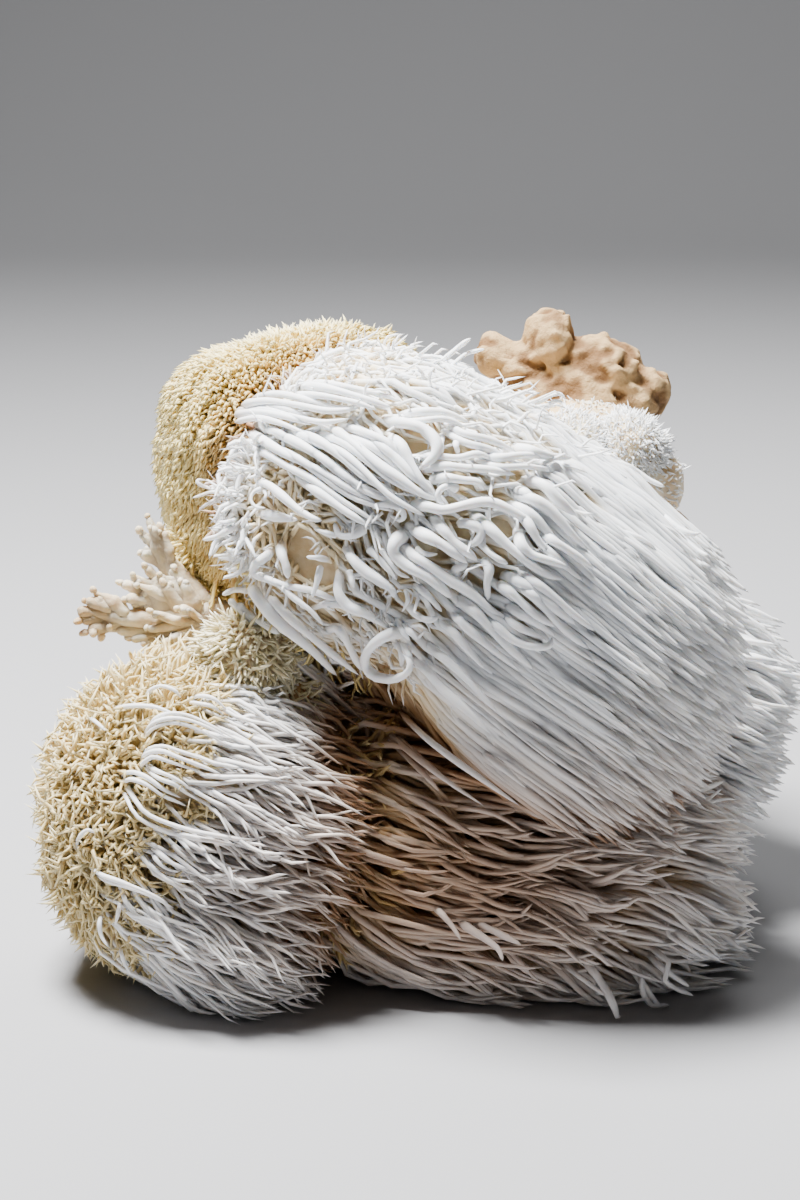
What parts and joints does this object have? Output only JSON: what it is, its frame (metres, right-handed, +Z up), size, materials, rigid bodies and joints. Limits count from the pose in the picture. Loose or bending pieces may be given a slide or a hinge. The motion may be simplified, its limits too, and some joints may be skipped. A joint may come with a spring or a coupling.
{
  "type": "lion's mane mushroom",
  "caption": "Picked lion's mane mushroom clump lying on its spines: shaggy rounded lobes of hanging white spines, a small branched sprout, and a knobbly brown foot cut flat behind.",
  "frame": {"origin": "on the surface that the clump lies on, under the middle of its bounding box", "axes": "+Z up; +X the way that the long spines stream and the longest extent; -Y the side of the shaggy front lobe; +Y the side of the cut foot"},
  "size_m": [0.1551, 0.123, 0.1203],
  "materials": {
    "white_spines": "soft, waxy, slightly see-through",
    "cream_stubs": "soft, waxy, matt",
    "curly_spines": "soft, waxy, slightly see-through",
    "shaded_spines": "soft, waxy, tan at the root",
    "far_spines": "soft, waxy, slightly see-through",
    "pale_flesh": "spongy, matt",
    "brown_crust": "dry, rough",
    "buff_sprout": "firm, matt"
  },
  "bodies": {
    "root": {"front_lobe": "white_spines", "back_lobe": "cream_stubs", "left_lobe": "curly_spines", "lower_lobe": "shaded_spines", "right_lobe": "far_spines", "stem": "pale_flesh", "foot": "brown_crust", "sprout": "buff_sprout"}
  },
  "joints": []
}
